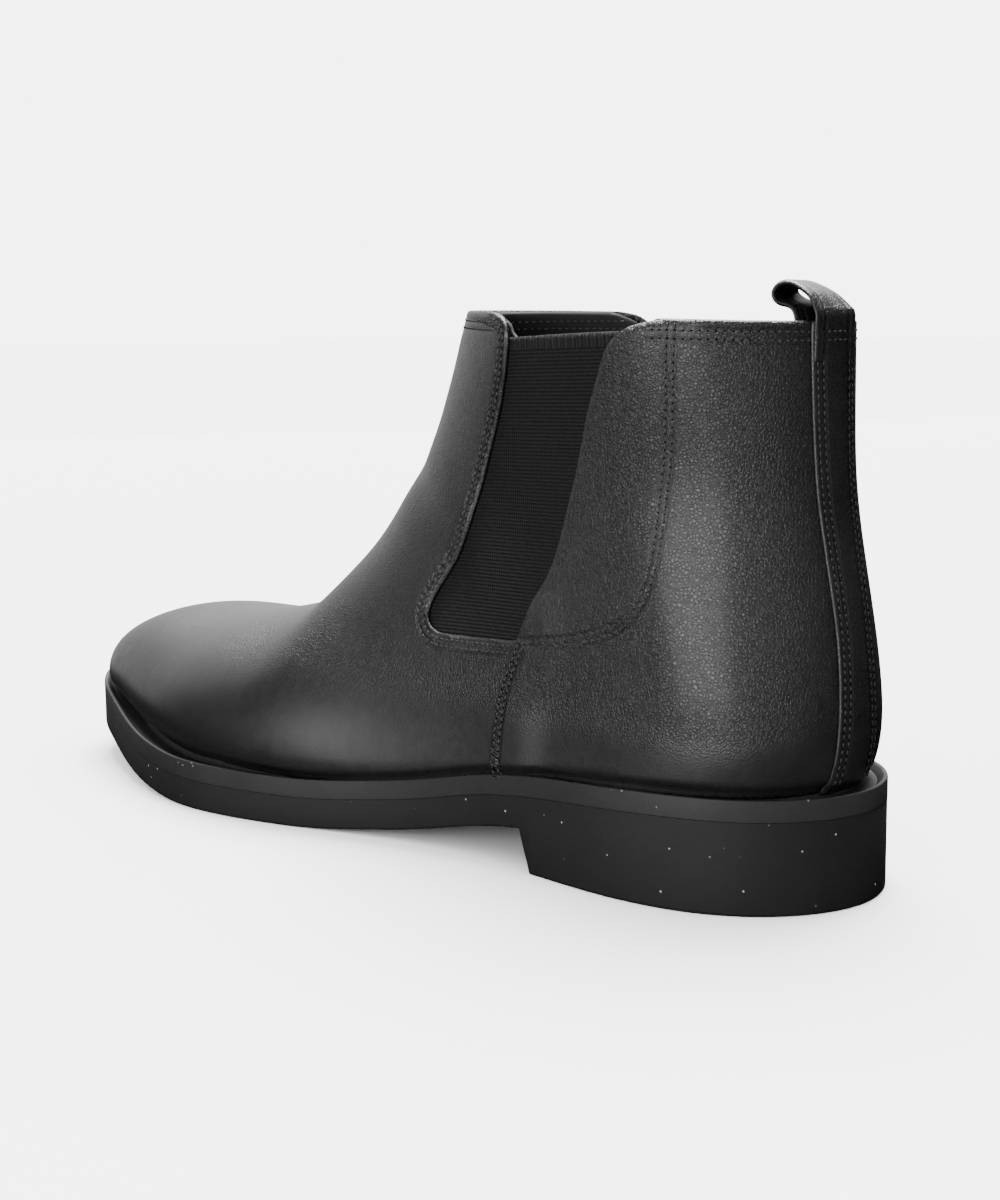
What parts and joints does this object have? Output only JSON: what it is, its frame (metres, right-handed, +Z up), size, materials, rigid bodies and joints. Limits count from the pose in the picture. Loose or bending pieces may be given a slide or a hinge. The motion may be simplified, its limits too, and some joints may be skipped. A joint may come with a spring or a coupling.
{
  "type": "chelsea boot",
  "caption": "Left ankle boot in black leather with elastic side gores, a back pull loop and a moulded rubber sole with a low heel.",
  "frame": {"origin": "on the ground, under the middle of the outsole's bounding box", "axes": "+Z up, toe towards -X, heel towards +X, outer (lateral) side towards -Y"},
  "size_m": [0.3, 0.1056, 0.1505],
  "materials": {
    "upper_leather": "smooth black calf leather with a soft sheen and a fine grain",
    "lining_leather": "matt black lining leather",
    "elastic": "black woven elastic with fine cross ribs",
    "sole_rubber": "matt black moulded rubber",
    "welt": "smooth black welt strip",
    "cork": "granulated cork filler",
    "fibre_board": "tan cellulose insole board",
    "foam": "grey foam",
    "stiffener": "thermoplastic stiffener sheet",
    "steel": "spring steel"
  },
  "bodies": {
    "root": {"outsole_rear": "sole_rubber", "welt_rear": "welt", "bottom_filler_rear": "cork", "insole_board_rear": "fibre_board", "footbed_rear": "foam", "sock_liner_rear": "lining_leather", "shank": "steel", "shank_rivets": "steel", "vamp_rear": "upper_leather", "quarter_lateral": "upper_leather", "quarter_medial": "upper_leather", "backstay": "upper_leather", "gore_lateral": "elastic", "gore_medial": "elastic", "heel_counter": "stiffener", "quarter_lining": "lining_leather", "vamp_lining_rear": "lining_leather", "pull_loop_tail": "upper_leather"},
    "forefoot": {"outsole_forefoot": "sole_rubber", "welt_forefoot": "welt", "bottom_filler_forefoot": "cork", "insole_board_forefoot": "fibre_board", "footbed_forefoot": "foam", "sock_liner_forefoot": "lining_leather", "vamp_forefoot": "upper_leather", "toe_puff": "stiffener", "vamp_lining_forefoot": "lining_leather"},
    "pull_loop": {"pull_loop": "upper_leather"}
  },
  "joints": [
    {"name": "toe_flex", "type": "hinge", "parent": "root", "child": "forefoot", "pos_m": [-0.042, 0, 0.0211], "axis": [0, 1, 0], "range_deg": [0, 35], "stiffness_Nm_per_rad": 8, "deforming": ["vamp_rear", "vamp_forefoot", "vamp_lining_rear", "vamp_lining_forefoot"]},
    {"name": "pull_loop_swing", "type": "hinge", "parent": "root", "child": "pull_loop", "pos_m": [0.1361, 0, 0.1428], "axis": [0, 1, 0], "range_deg": [-4, 80], "stiffness_Nm_per_rad": 0.02}
  ]
}
